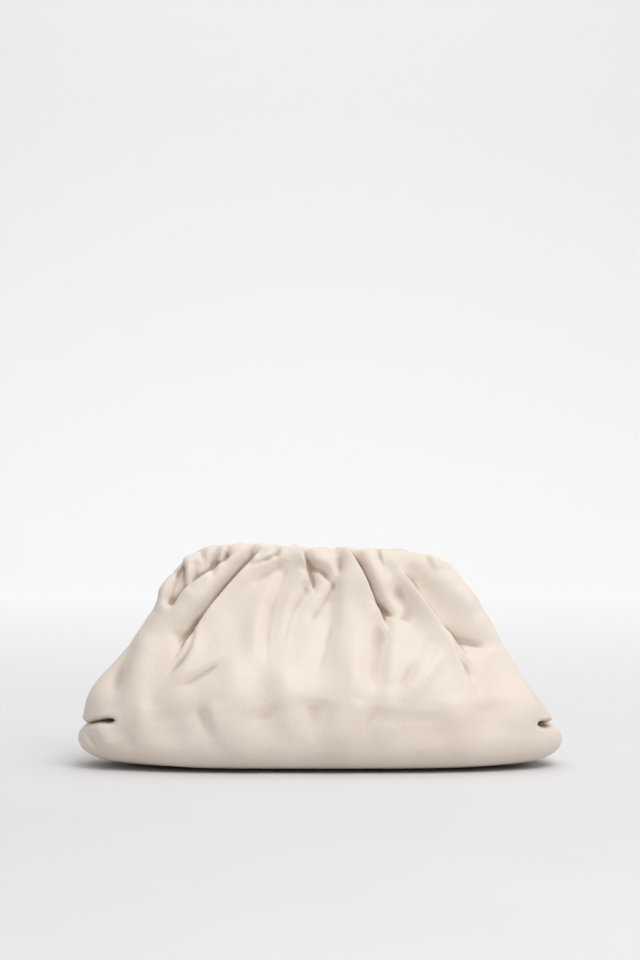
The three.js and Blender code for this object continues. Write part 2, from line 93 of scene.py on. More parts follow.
# Gathers. Each row is one fold along a line that bends through three places, from the top down.
# x0 z0 x1 z1 x2 z2: those places, as shares of FOLD_HALF_WIDTH and FOLD_HEIGHT
# left, right: how far the leather stands (+) or sinks (-) to each side of the line, in mm
# wide_left, wide_right: how far that spreads to each side, in mm
# sharp: half width of the step at the line, in mm
# start, end: shares of the fold that are left where its line starts and ends
# grow: how much wider the fold is at the end of its line
# over: how far the high side leans over the low one, in mm
# They are the gathers of the front. The back has the same ones, turned about Z.
FOLD_COLUMNS = "x0 z0 x1 z1 x2 z2 left right wide_left wide_right sharp start end grow over"
FOLDS = [
    (-0.27, 0.93, -0.42, 0.735, -0.53, 0.585, -9, 3, 8, 9, 1.1, 0.6, 0.7, 0.2, 2.6),
    (-0.33, 0.97, -0.47, 0.79, -0.62, 0.62, 5.5, 5.5, 9, 10, 1, 0.7, 0.2, 0.4, 0),
    (-0.385, 0.925, -0.54, 0.81, -0.66, 0.7, -4, 1, 5, 6, 1.2, 1, 0.2, 0.3, 0),
    (-0.43, 0.965, -0.437, 0.92, -0.445, 0.865, -6, -6, 3.2, 3.2, 1, 0.6, 0.6, 0, 0),
    (-0.385, 0.97, -0.388, 0.945, -0.395, 0.92, -4, -4, 2.4, 2.4, 1, 0.6, 0.6, 0, 0),
    (-0.58, 0.875, -0.59, 0.81, -0.615, 0.745, -8, -8, 3.6, 3.6, 1, 0.9, 0.9, 0, 0),
    (-0.64, 0.88, -0.645, 0.8, -0.655, 0.73, 4.5, 4.5, 6, 6, 1, 0.7, 0.4, 0, 0),
    (-0.545, 0.91, -0.535, 0.84, -0.54, 0.78, 4.5, 4.5, 5, 5, 1, 0.7, 0.4, 0, 0),
    (-0.515, 0.9, -0.52, 0.85, -0.53, 0.805, -3, -3, 3, 3, 1, 0.6, 0.8, 0, 0),
    (-0.5, 0.63, -0.57, 0.59, -0.69, 0.585, -2.6, -1, 12, 6, 4, 1, 0, 0, 0),
    (-0.505, 0.587, -0.55, 0.49, -0.655, 0.38, -2, 1.5, 6, 7, 2, 0.8, 0.1, 0.2, 0),
    (-0.359, 0.53, -0.5, 0.435, -0.62, 0.373, 1.4, -1.8, 7, 8, 2.6, 0.1, 0.1, 0.2, 0),
    (-0.284, 1, -0.284, 0.955, -0.283, 0.905, -3.4, -3.4, 2.2, 2.2, 1, 1, 0.6, 0, 0),
    (-0.187, 0.95, -0.215, 0.93, -0.25, 0.91, 1.5, -3, 3, 3, 0.8, 0.6, 0.4, 0, 0),
    (-0.176, 0.985, -0.176, 0.965, -0.178, 0.945, -4, -4, 2.2, 2.2, 1, 0.7, 0.7, 0, 0),
    (-0.21, 1, -0.235, 0.955, -0.262, 0.92, -2, -2, 2.4, 2.4, 1, 0.8, 0.3, 0.1, 0),
    (-0.12, 0.96, -0.2, 0.915, -0.3, 0.85, 3, 3, 6, 6, 1, 0.5, 0.3, 0, 0),
    (-0.12, 0.915, -0.2, 0.86, -0.3, 0.79, -3, -1.2, 9, 7, 3.5, 0.3, 0.1, 0.2, 0),
    (-0.068, 0.97, -0.056, 0.91, -0.04, 0.845, 2.5, -6, 7, 5, 0.9, 0.8, 0.8, 0, 0),
    (-0.04, 0.845, -0.055, 0.81, -0.085, 0.785, -2.5, -2.5, 4, 4, 1, 0.8, 0.1, 0, 0),
    (-0.045, 0.935, 0, 0.925, 0.045, 0.885, 3.5, 3.5, 6, 6, 1, 0.7, 0.6, 0, 0),
    (-0.04, 0.875, 0.01, 0.86, 0.05, 0.8, -1, -4, 5, 6, 1.6, 0.9, 0.1, 0, 0),
    (0.065, 0.965, 0.083, 0.9, 0.07, 0.82, -4.4, -4.4, 4, 4.5, 1, 0.7, 0.1, 0, 0),
    (0.1, 0.93, 0.105, 0.85, 0.1, 0.72, 3.5, 3.5, 6, 6, 1, 0.5, 0.2, 0.4, 0),
    (0.055, 0.8, 0, 0.7, -0.05, 0.63, -2.4, -1.4, 4, 5, 2, 1, 0, 0.8, 0),
    (0.117, 0.97, 0.165, 0.85, 0.235, 0.71, 4.5, -9, 9, 7, 1, 0.7, 0.6, 0.1, 3.6),
    (0.19, 0.95, 0.25, 0.83, 0.31, 0.71, 4, 4, 8, 8, 1, 0.7, 0.7, 0, 0),
    (0.235, 0.71, 0.285, 0.685, 0.33, 0.67, -0.5, -3.5, 5, 6, 1.5, 0.9, 0.5, 0, 0),
    (0.28, 0.84, 0.34, 0.72, 0.385, 0.58, -4, -4, 8, 8, 1, 0.1, 0.2, 0.2, 0),
    (0.28, 0.96, 0.38, 0.8, 0.52, 0.62, 3.5, 3.5, 8, 8, 1, 0.6, 0.3, 0, 0),
    (0.335, 0.89, 0.41, 0.755, 0.535, 0.595, 3, -8.5, 6, 9, 1.1, 0.2, 0.8, 1.1, 2),
    (0.54, 0.595, 0.63, 0.56, 0.73, 0.53, -1.5, -5, 5, 8, 2, 0.9, 0.3, 0, 0),
    (0.535, 0.59, 0.585, 0.47, 0.63, 0.375, 1, -2.8, 6, 6, 1.8, 0.8, 0.4, 0, 0),
    (0.45, 0.9, 0.52, 0.8, 0.62, 0.65, 2, 2, 12, 12, 1, 0.6, 0.3, 0, 0),
    (0.58, 0.83, 0.62, 0.76, 0.68, 0.68, 5, 5, 9, 9, 1, 0.6, 0.3, 0, 0),
    (0.25, 0.69, 0.232, 0.5, 0.225, 0.28, -3, -3, 7, 8, 5, 0.5, 0, 0.8, 0),
    (0.16, 0.6, 0.15, 0.45, 0.15, 0.31, 1.6, 1.6, 9, 9, 1, 0.3, 0.3, 0, 0),
    (0.3, 0.6, 0.29, 0.47, 0.28, 0.33, 2, 2, 7, 7, 1, 0.3, 0.3, 0, 0),
    (0.455, 0.53, 0.38, 0.4, 0.305, 0.3, 2.4, 2.4, 4.5, 4.5, 1, 0.3, 0.3, 0, 0),
    (0.525, 0.57, 0.44, 0.42, 0.345, 0.29, 2.2, 2.2, 5, 5, 1, 0.3, 0.3, 0, 0),
    (-0.14, 0.86, -0.2, 0.64, -0.2, 0.42, -3.6, -2.6, 5, 6, 2, 0.5, 0, 1.2, 0),
    (-0.22, 0.74, -0.26, 0.58, -0.27, 0.44, 2.2, 2.2, 10, 10, 1, 0.4, 0.2, 0, 0),
    (-0.12, 0.74, -0.15, 0.6, -0.15, 0.46, 1.5, 1.5, 7, 7, 1, 0.4, 0.2, 0, 0),
    (-0.03, 0.8, -0.12, 0.66, -0.14, 0.48, -2.6, -1.6, 4, 5, 2, 0.8, 0, 1.2, 0),
    (0.05, 0.74, 0.015, 0.53, -0.065, 0.33, -2.6, -3, 5, 6, 2, 0.5, 0, 1.1, 0),
    (-0.465, 0.33, -0.45, 0.24, -0.41, 0.15, -2.4, 2.4, 12, 14, 7, 0.2, 0.2, 0.1, 0),
    (-0.76, 0.62, -0.83, 0.47, -0.85, 0.3, -3.5, -3.5, 8, 8, 1, 0.3, 0.4, 0, 0),
    (-0.69, 0.62, -0.73, 0.48, -0.75, 0.3, 4, 4, 10, 10, 1, 0.2, 0.2, 0, 0),
    (-0.15, 0.5, -0.14, 0.38, -0.125, 0.27, 3.2, 3.2, 13, 13, 1, 0.2, 0.7, 0, 0),
    (0.11, 0.7, 0.12, 0.45, 0.08, 0.2, 3, 3, 14, 14, 1, 0.4, 0.7, 0.1, 0),
    (-0.36, 0.56, -0.35, 0.38, -0.33, 0.2, 2.6, 2.6, 14, 14, 1, 0.2, 0.6, 0.1, 0),
    (-0.23, 0.31, -0.21, 0.22, -0.2, 0.1, -2.4, -2.4, 14, 14, 1, 0.1, 0.2, 0.2, 0),
    (0.42, 0.29, 0.42, 0.2, 0.43, 0.1, -2.4, -2.4, 15, 15, 1, 0.1, 0.2, 0.2, 0),
    (-0.62, 0.3, -0.6, 0.2, -0.58, 0.1, -2.2, -2.2, 15, 15, 1, 0.2, 0.2, 0.2, 0),
    (0.655, 0.745, 0.775, 0.53, 0.925, 0.25, 2.2, -3.5, 8, 7, 3, 0.3, 0.5, 0.1, 0),
    (0.73, 0.53, 0.74, 0.44, 0.76, 0.3, -1.8, -1.4, 8, 9, 3, 0.3, 0, 0.6, 0),
    (-0.01, 0.34, -0.02, 0.25, -0.03, 0.1, -2.4, -2.4, 14, 14, 1, 0.1, 0.2, 0.2, 0),
    (0.68, 0.33, 0.7, 0.24, 0.71, 0.14, -2, -2, 14, 14, 1, 0.3, 0.2, 0, 0),
    (0.27, 0.4, 0.27, 0.31, 0.26, 0.23, 3, 3, 11, 11, 1, 0.3, 0.5, 0, 0),
    (0.55, 0.36, 0.56, 0.27, 0.57, 0.19, 2.6, 2.6, 13, 13, 1, 0.3, 0.4, 0, 0),
    (-0.25, 1.03, -0.235, 1, -0.22, 0.96, 7, 7, 8, 8, 1, 1, 0.2, 0, 0),
    (0.44, 1, 0.46, 0.93, 0.49, 0.86, -1.5, 1, 6, 6, 3, 0.2, 0, 0.6, 0),
    (0.235, 1, 0.25, 0.95, 0.27, 0.88, -2.4, 1.2, 4, 5, 1.2, 0.8, 0, 0.6, 0),
    (-0.5, 1, -0.49, 0.95, -0.48, 0.9, -2.4, -2.4, 3, 3, 1, 1, 0.2, 0, 0),
    (0.02, 1.01, 0.03, 0.97, 0.045, 0.93, -2, -2, 3, 3, 1, 1, 0.2, 0, 0),
    (0.2, 0.32, 0.18, 0.25, 0.14, 0.14, 1.8, -1.6, 12, 13, 9, 0.1, 0.2, 0.2, 0),
    (-0.72, 0.36, -0.7, 0.25, -0.73, 0.12, 1.8, -1.6, 11, 12, 8, 0.1, 0.2, 0.2, 0),
    (-0.985, 0.16, -0.95, 0.13, -0.91, 0.07, 1.5, -2, 5, 5, 1.5, 0.8, 0.3, 0, 0),
    (-0.89, 0.17, -0.87, 0.14, -0.86, 0.08, 3, 3, 6, 6, 1, 0.9, 0.3, 0, 0),
    (-0.8, 0.16, -0.78, 0.12, -0.77, 0.07, -2, -2, 7, 7, 1, 0.6, 0.3, 0, 0),
]
FOLD_HALF_WIDTH = 0.188
FOLD_HEIGHT = 0.1755

FOLD_FULL = (0.35, 0.55)  # shares of its line between which a fold has its full strength
FOLD_FADE = 0.6  # how far a fold fades out past its ends, in its own widths
CREST_FROM = 0.93  # share of FOLD_HEIGHT from which the steps grow softer
CREST_SOFTENING = 3
LEAN_SPREAD = 0.8  # how much of the high side leans over, in its widths
LEAN_OVERHANG = 2.5  # how far past the line it leans, in mm

# Where the gathers are held back, so that they don't meet the frame inside the rim
FRAME_FROM, FRAME_FULL = 0.66, 0.82  # shares of the height over which the frame comes near
BELOW_FRAME_ROOM = 2  # room below the frame, in rooms inside the rim
HINGE_FROM, HINGE_FULL = 0.7, 0.85  # shares of the left rim over which a hinge comes near
HINGE_ROOM = 0.3  # room to sink by a hinge, in rooms inside the rim

# Swells of loose leather: wavelengths in mm along X and up Z, and shares of each
SWELLS = [(83, 190, 0.3), (-61, 97, 0.25), (47, -68, 0.2), (-36, -150, 0.15), (29, 58, 0.1)]
SWELL_PHASE = 1.7

# How the rim drops towards its right end
DROP_FROM_HEIGHT = 0.6  # share of the height
DROP_FULL_AT = 0.7  # share of the right rim

# The tucks over the lower lips
TUCK_SHARPNESS = 1.6
TUCK_FIRST_DEPTH = 0.6  # share of the depth at the open inner end
TUCK_CLOSED = 3  # where a tuck is pinched shut, in widths of its open end
TUCK_PINCHED = 0.6  # share of its lip that is pinched
RIGHT_TUCK_RISE = 0.5  # share of the left one's
TUCK_RISE_RUN = 0.25  # share of the panel over which a tuck rises
TUCK_RISE_REACH = 4  # in heights of the lip

# Stretches over which a form comes in, as rows of the sections or as rows away from a tuck
TUCK_CALM_IN, TUCK_CALM_OUT = (6.5, 9), (12.6, 13.4)
SEAM_ROWS, SEAM_FROM_TUCK = (5, 6), (0.45, 0.9)
# rows away from a tuck over which the painted shade inside it fades
TUCK_SHADE_ROWS = (0.15, 0.35)
END_CALM = 0.88  # share of the panel from which the gathers fade at an end

# Painted shade in the creases and tucks: steps of the fine grid to its near and far neighbours, by
# which a crease's depth is measured
NEAR_STEPS, FAR_STEPS = 4, 9
FAR_SHARE = 0.5
TUCK_SHADE_DEPTH = 4  # depth of painted shade inside a tuck, in mm
FLESH_STEPS = 2  # the inner face follows the lowest fold this near

# How finely the leather is drawn
COLUMNS = 320
ROWS_ABOVE = 142
ROWS_OF_TUCK = 52
ROWS_BELOW = 46
ROW_ABOVE_TUCK = 11.3
ROW_BELOW_TUCK = 13.0
ROWS_IN_LIPS = 0.8  # share of the rows of a tuck that lie in its lips
TUCK_RUN_IN = 0.2  # share of the panel over which the rows crowd into a tuck
CURVE_STEPS = 120
LINE_STEPS = 16

# Stage, in metres
FLOOR_HALF, FLOOR_BACK, SWEEP, WALL_TOP = 5.0, 3.0, 1.2, 5.0
SWEEP_STEPS = 16
KEY_SIZE, KEY_PLACE, KEY_TARGET = 1.3, (0.65, -1.3, 1.7), (0, 0, 0.05)
WASH_SIZE, WASH_PLACE, WASH_TARGET = 3.0, (0, 1.6, 3.4), (0, 4.2, 1.2)
CAMERA_PLACE = (0.0004, -1.79, 0.2245)
LENS_MM, SENSOR_MM = 85, 36
VIEW_LIMIT = 50


class PouchSizes(bpy.types.PropertyGroup):
    """Sizes of the pouch that a user would change."""

    height: FloatProperty(
        name="Height",
        description="Sole to the crest of the gathered rim",
        default=0.173,
        unit="LENGTH",
    )
    body_left: FloatProperty(
        name="Body Left",
        description="Middle to the left end of the lower lip",
        default=0.190,
        unit="LENGTH",
    )
    body_right: FloatProperty(
        name="Body Right",
        description="Middle to the right end of the lower lip",
        default=0.190,
        unit="LENGTH",
    )
    body_depth: FloatProperty(
        name="Body Depth",
        description="Middle to the fullest part of each panel",
        default=0.071,
        unit="LENGTH",
    )
    rim_left: FloatProperty(
        name="Rim Left",
        description="Middle to the left end of the gathered rim",
        default=0.123,
        unit="LENGTH",
    )
    rim_right: FloatProperty(
        name="Rim Right",
        description="Middle to the right end of the gathered rim",
        default=0.115,
        unit="LENGTH",
    )
    rim_depth: FloatProperty(
        name="Rim Depth",
        description="Middle to the outside of the rim",
        default=0.018,
        unit="LENGTH",
    )
    rim_drop: FloatProperty(
        name="Rim Drop",
        description="How much lower the rim lies towards its right end",
        default=0.0045,
        unit="LENGTH",
    )
    slack: FloatProperty(
        name="Slack",
        description="Height of the soft swells of the loose leather",
        default=0.0014,
        unit="LENGTH",
    )
    rim_room: FloatProperty(
        name="Rim Room",
        description="How deep a fold may sink before it meets the frame",
        default=0.006,
        unit="LENGTH",
    )
    mouth_left: FloatProperty(
        name="Mouth Left",
        description="Middle to the left end of the facing",
        default=0.097,
        unit="LENGTH",
    )
    mouth_right: FloatProperty(
        name="Mouth Right",
        description="Middle to the right end of the facing",
        default=0.088,
        unit="LENGTH",
    )
    mouth_gap: FloatProperty(
        name="Mouth Gap", description="Slit between the two facings", default=0.0072, unit="LENGTH"
    )
    leather: FloatProperty(
        name="Leather",
        description="Thickness of the wall",
        default=0.002,
        unit="LENGTH",
    )
    seam_gap: FloatProperty(
        name="Seam Gap",
        description="Between the edges of the two panels",
        default=0.0002,
        unit="LENGTH",
    )
    seam_dip: FloatProperty(
        name="Seam Dip",
        description="How deep the panels round off into their seam",
        default=0.0014,
        unit="LENGTH",
    )
    seam_width: FloatProperty(
        name="Seam Width", description="How far that rounding reaches", default=0.003, unit="LENGTH"
    )
    end_fold: FloatProperty(
        name="End Fold",
        description="How deep each end folds inward under the frame",
        default=0.016,
        unit="LENGTH",
    )
    end_roll: FloatProperty(
        name="End Roll",
        description="Extra half width of the fold at the ends",
        default=0.003,
        unit="LENGTH",
    )
    tuck_depth: FloatProperty(
        name="Tuck Depth",
        description="How far the tuck over each lower lip reaches in",
        default=0.026,
        unit="LENGTH",
    )
    tuck_lip: FloatProperty(
        name="Tuck Lip",
        description="Height of the leather that turns into a tuck",
        default=0.005,
        unit="LENGTH",
    )
    tuck_pinch: FloatProperty(
        name="Tuck Pinch",
        description="Share of that height left inside the tuck",
        default=0.3,
        subtype="FACTOR",
    )
    tuck_mouth: FloatProperty(
        name="Tuck Mouth",
        description="Share of the panel that the open inner end takes",
        default=0.06,
        subtype="FACTOR",
    )
    tuck_rise: FloatProperty(
        name="Tuck Rise",
        description="How much higher the inner end of a tuck lies",
        default=0.007,
        unit="LENGTH",
    )
    tuck_left: FloatProperty(
        name="Left Tuck Start",
        description="Share of the way to the left end",
        default=0.7,
        subtype="FACTOR",
    )
    tuck_right: FloatProperty(
        name="Right Tuck Start",
        description="Share of the way to the right end",
        default=0.77,
        subtype="FACTOR",
    )
    gather: FloatProperty(
        name="Gather",
        description="Strength of the gathers",
        default=1.2,
        subtype="FACTOR",
    )


class PouchLooks(bpy.types.PropertyGroup):
    """Colours and grain of the pouch."""

    leather_color: FloatVectorProperty(
        name="Leather",
        description="Colour of the lit leather",
        subtype="COLOR",
        default=(0.77, 0.685, 0.602),
    )
    shade_color: FloatVectorProperty(
        name="Leather Shade",
        description="Colour of its darker clouds",
        subtype="COLOR",
        default=(0.735, 0.642, 0.556),
    )
    # Painted shade: the darker colour mixed into the leather in deep creases and tucks, standing in
    # for their shadow
    crease_shade_color: FloatVectorProperty(
        name="Crease",
        description="Colour in the bottom of the creases",
        subtype="COLOR",
        default=(0.36, 0.265, 0.195),
    )
    flesh_color: FloatVectorProperty(
        name="Flesh Side",
        description="Colour of the inner face",
        subtype="COLOR",
        default=(0.55, 0.45, 0.36),
    )
    steel_color: FloatVectorProperty(
        name="Frame",
        description="Colour of the steel frame",
        subtype="COLOR",
        default=(0.52, 0.53, 0.54),
    )
    grain_size: FloatProperty(
        name="Grain Size", description="Across one cell of the grain", default=0.0011, unit="LENGTH"
    )


class PouchStage(bpy.types.PropertyGroup):
    """Floor, backdrop and lights."""

    floor_color: FloatVectorProperty(
        name="Floor",
        description="Colour of the floor in front",
        subtype="COLOR",
        default=(0.67, 0.662, 0.67),
    )
    wall_color: FloatVectorProperty(
        name="Backdrop",
        description="Colour of the backdrop",
        subtype="COLOR",
        default=(0.93, 0.93, 0.935),
    )
    sky: FloatProperty(name="Sky", description="Strength of the light from above", default=0.95)
    sky_low: FloatProperty(
        name="Low Sky",
        description="Strength of the light from the level",
        default=0.21,
    )
    sky_left: FloatProperty(
        name="Left Sky",
        description="Share of the sky's light that comes from the left",
        default=0.6,
        subtype="FACTOR",
    )
    key: FloatProperty(
        name="Key Light",
        description="Power of the large light above",
        default=25,
        unit="POWER",
    )
    wash: FloatProperty(
        name="Backdrop Light",
        description="Power of the light on the backdrop",
        default=42,
        unit="POWER",
    )


def columns_of(names, rows):
    """The rows of a table as one array for each named column."""
    return dict(zip(names.split(), np.array(rows, float).T))


def lerp(start, end, share):
    return start + (end - start) * share


def smoothstep(value, low, high):
    share = np.clip((value - low) / (high - low), 0, 1)
    return share * share * (3 - 2 * share)


def between(values, row):
    """A column of the sections at fractional rows, on a smooth curve that never overshoots."""
    steps = np.diff(values)
    before = np.concatenate([[0], steps])
    after = np.concatenate([steps, [0]])
    slopes = np.where(before * after > 0, (before + after) / 2, 0)
    i = np.minimum(np.floor(row).astype(int), LAST - 1)
    t = row - i
    rise = steps[i] * t * t * (3 - 2 * t)
    return values[i] + rise + slopes[i] * t * (1 - t) ** 2 - slopes[i + 1] * t * t * (1 - t)


def along_section(reach, depth, square, share):
    """Points at shares of the way along quarter sections, from their middles to their ends."""
    angle = np.linspace(math.pi / 2, 0, CURVE_STEPS + 1)
    x = reach[:, None] * np.abs(np.cos(angle)) ** (2 / square[:, None])
    y = depth[:, None] * np.abs(np.sin(angle)) ** (2 / square[:, None])
    lengths = np.hypot(np.diff(x), np.diff(y)).cumsum(axis=1)
    lengths = np.concatenate([np.zeros((len(lengths), 1)), lengths], axis=1)
    wanted = lengths[:, -1] * share
    i = np.clip((lengths < wanted[:, None]).sum(axis=1), 1, CURVE_STEPS)
    each = np.arange(len(reach))
    t = (wanted - lengths[each, i - 1]) / (lengths[each, i] - lengths[each, i - 1])
    return lerp(x[each, i - 1], x[each, i], t), lerp(y[each, i - 1], y[each, i], t)


def rows_at(sizes, around):
    """The rows drawn at one place round a panel: even in the front, and crowded into the tucks."""
    sections = columns_of(SECTION_COLUMNS, SECTIONS)
    start = sizes.tuck_left if around < 0 else sizes.tuck_right
    ends = sections["end"][[TUCK_ROW - 1, TUCK_ROW + 1]]
    row_height = (ends[0] - ends[1]) * sizes.height / 2
    lip = sizes.tuck_lip / row_height
    place = np.linspace(-1, 1, ROWS_OF_TUCK + 1)
    inside = np.clip(np.abs(place) / ROWS_IN_LIPS, 0, 1)
    beyond = np.clip((np.abs(place) - ROWS_IN_LIPS) / (1 - ROWS_IN_LIPS), 0, 1)
    limit = np.where(place < 0, TUCK_ROW - ROW_ABOVE_TUCK, ROW_BELOW_TUCK - TUCK_ROW)
    reach = lerp(lip * (1 - (1 - inside) ** (1 / TUCK_SHARPNESS)), limit, beyond)
    crowded = TUCK_ROW + np.sign(place) * reach
    even = np.linspace(ROW_ABOVE_TUCK, ROW_BELOW_TUCK, ROWS_OF_TUCK + 1)
    tuck = lerp(even, crowded, smoothstep(abs(around), start - TUCK_RUN_IN, start))
    above = np.linspace(0, ROW_ABOVE_TUCK, ROWS_ABOVE + 1)[:-1]
    below = np.linspace(ROW_BELOW_TUCK, LAST, ROWS_BELOW + 1)[1:]
    return np.concatenate([above, tuck, below])


def bare_column(sizes, facing, around, rows):
    """One column of a panel before its gathers, from the hem to the seam of the sole."""
    sections = columns_of(SECTION_COLUMNS, SECTIONS)
    at = {name: between(values, rows) for name, values in sections.items()}
    left = around < 0
    side = math.copysign(1, around)
    share = abs(around)
    rim = sizes.rim_left if left else sizes.rim_right
    mouth = sizes.mouth_left if left else sizes.mouth_right
    body = sizes.body_left if left else sizes.body_right
    start = sizes.tuck_left if left else sizes.tuck_right
    rim_wall = lerp(sizes.rim_depth, sizes.mouth_gap / 2, at["hem"])
    wall = lerp(rim_wall, sizes.body_depth, at["belly"])
    depth = lerp(wall, sizes.seam_gap / 2, at["sole"])
    reach = lerp(lerp(rim, mouth, at["hem"]), body, at["left" if left else "right"])
    x, y = along_section(reach, depth, at["square"], share)

    rolled = np.minimum(y / (depth / 2 + sizes.end_roll), 1)
    fold = at["fold"] * sizes.end_fold * (1 + np.cos(math.pi * rolled)) / 2
    dropped = (1 - np.cos(math.pi * share ** at["level"])) / 2
    z = lerp(at["up"], at["end"], dropped) * sizes.height
    towards_right = smoothstep(side * x, -sizes.rim_left / 2, sizes.rim_right * DROP_FULL_AT)
    near_rim = smoothstep(z, sizes.height * DROP_FROM_HEIGHT, sizes.height)
    z -= sizes.rim_drop * towards_right * near_rim

    tuck_height = sections["up"][TUCK_ROW] * sizes.height
    away = np.minimum(np.abs(z - tuck_height) / sizes.tuck_lip, 1)
    opened = smoothstep(share, start, start + sizes.tuck_mouth)
    spread = lerp(TUCK_FIRST_DEPTH * opened, 1, smoothstep(share, start, 1))
    turn = spread * sizes.tuck_depth * (1 - away) ** TUCK_SHARPNESS
    shut_at = start + TUCK_CLOSED * sizes.tuck_mouth
    closed = smoothstep(share, start + sizes.tuck_mouth, shut_at)
    pinch = lerp(1, lerp(sizes.tuck_pinch, 1, smoothstep(away, TUCK_PINCHED, 1)), closed)
    level_x = (x / reach) ** (at["square"] - 1) / reach
    level_y = (y / depth) ** (at["square"] - 1) / depth
    length = np.hypot(level_x, level_y)
    x = x - fold - turn * level_x / length
    y = np.maximum(y - turn * level_y / length, sizes.seam_gap / 2)
    z = lerp(tuck_height, z, pinch)
    rise = sizes.tuck_rise * (1 if left else RIGHT_TUCK_RISE)
    rise *= smoothstep(share, start - TUCK_RISE_RUN, start) * (1 - smoothstep(share, start, 1))
    z += rise * np.exp(-(((z - tuck_height) / (TUCK_RISE_REACH * sizes.tuck_lip)) ** 2))
    return np.stack([side * x, facing * y, z], axis=1)


def faces_out(points, facing):
    """The direction that each point of a panel faces. Where it meets the other panel that
    direction lies in the plane between them, and the corners take their neighbours'."""
    across = np.gradient(points, axis=1)
    down = np.gradient(points, axis=0)
    normals = np.cross(across, down) * facing
    normals[:, [0, -1], 1] = 0
    normals[-1, :, 1] = 0
    normals[-1, [0, -1]] = normals[-1, [1, -2]]
    return normals / np.linalg.norm(normals, axis=2, keepdims=True)


def fold_line(fold):
    """The bent line of a fold, through its three places."""
    start, through, end = (
        np.array([fold[f"x{i}"] * FOLD_HALF_WIDTH, fold[f"z{i}"] * FOLD_HEIGHT]) for i in range(3)
    )
    bend = 2 * through - (start + end) / 2
    t = np.linspace(0, 1, LINE_STEPS + 1)[:, None]
    return (1 - t) ** 2 * start + 2 * t * (1 - t) * bend + t * t * end


def place_by_line(line, x, z):
    """Where each point lies by a bent line: how far to the right of it, what share of the way along
    it, how far past its ends, and the X and Z of the direction across it."""
    nearest = np.full(x.shape, np.inf)
    off, along, beyond, across_x, across_z = (np.zeros(x.shape) for _ in range(5))
    for i, (start, step) in enumerate(zip(line[:-1], np.diff(line, axis=0))):
        length = math.hypot(*step)
        to_x, to_z = x - start[0], z - start[1]
        free = (to_x * step[0] + to_z * step[1]) / length**2
        t = np.clip(free, 0, 1)
        distance = np.hypot(to_x - t * step[0], to_z - t * step[1])
        closer = distance < nearest
        nearest = np.where(closer, distance, nearest)
        off = np.where(closer, (to_z * step[0] - to_x * step[1]) / length, off)
        along = np.where(closer, (i + t) / LINE_STEPS, along)
        before = np.maximum(-free, 0) if i == 0 else 0
        after = np.maximum(free - 1, 0) if i == LINE_STEPS - 1 else 0
        beyond = np.where(closer, (before + after) * length, beyond)
        across_x = np.where(closer, -step[1] / length, across_x)
        across_z = np.where(closer, step[0] / length, across_z)
    return off, along, beyond, across_x, across_z


def lay_fold(fold, x, z):
    """How far one fold lifts each point, and how far it slides the leather along X and Z."""
    off, along, beyond, across_x, across_z = place_by_line(fold_line(fold), x, z)
    width = 1 + fold["grow"] * along
    wide_left = fold["wide_left"] * MM * width
    wide_right = fold["wide_right"] * MM * width
    crest = smoothstep(z, CREST_FROM * FOLD_HEIGHT, FOLD_HEIGHT)
    sharp = fold["sharp"] * MM * (1 + CREST_SOFTENING * crest)
    on_left = fold["left"] * np.exp(-((off / wide_left) ** 2))
    on_right = fold["right"] * np.exp(-((off / wide_right) ** 2))
    coming = lerp(fold["start"], 1, smoothstep(along, 0, FOLD_FULL[0]))
    going = lerp(1, fold["end"], smoothstep(along, FOLD_FULL[1], 1))
    faded = np.exp(-((beyond / (FOLD_FADE * (wide_left + wide_right))) ** 2))
    strength = coming * going * faded
    lift = lerp(on_left, on_right, smoothstep(off, -sharp, sharp)) * strength * MM
    side = 1 if fold["left"] >= fold["right"] else -1
    high = np.exp(-((off / (LEAN_SPREAD * (wide_left if side > 0 else wide_right))) ** 2))
    low = np.exp(-((off / (LEAN_OVERHANG * MM)) ** 2))
    lean = side * fold["over"] * MM * strength * np.where(off * side < 0, high, low)
    return lift, lean * across_x, lean * across_z


def lay_folds(bare, facing):
    """How far all the gathers lift each point of a panel, and slide it along X and Z."""
    lift, slide_x, slide_z = (np.zeros(bare.shape[:2]) for _ in range(3))
    table = columns_of(FOLD_COLUMNS, FOLDS)
    for i in range(len(FOLDS)):
        fold = {name: values[i] for name, values in table.items()}
        up, sideways, upward = lay_fold(fold, -facing * bare[..., 0], bare[..., 2])
        lift += up
        slide_x -= facing * sideways
        slide_z += upward
    return lift, slide_x, slide_z


def clear_of_frame(sizes, bare, lift):
    """The lift of the gathers, held back where they would meet the frame inside the rim."""
    below = smoothstep(-bare[..., 2], -FRAME_FULL * sizes.height, -FRAME_FROM * sizes.height)
    room = lerp(sizes.rim_room, BELOW_FRAME_ROOM * sizes.rim_room, below)
    hinges = HINGE_FROM * sizes.rim_left, HINGE_FULL * sizes.rim_left
    by_hinge = smoothstep(np.abs(bare[..., 0]), *hinges) * (1 - below)
    room_inside = lerp(room, HINGE_ROOM * sizes.rim_room, by_hinge)
    sunk = room_inside * np.tanh(lift / room_inside)
    return np.where(lift > 0, room * np.tanh(lift / room), sunk)


def slack(x, z):
    """Soft uneven swells of loose leather, from -1 to 1."""
    swells = np.zeros(x.shape)
    for i, (across, down, share) in enumerate(SWELLS):
        phase = 2 * math.pi * (x / across + z / down) / MM + SWELL_PHASE * i
        swells += share * np.sin(phase)
    return swells


def lowest(values, reach):
    """The lowest value of a grid within reach steps of each of its points."""
    padded = np.pad(values, reach, mode="edge")
    high, wide = values.shape
    steps = range(2 * reach + 1)
    around = [
        padded[down : down + high, across : across + wide] for down in steps for across in steps
    ]
    return np.min(around, axis=0)


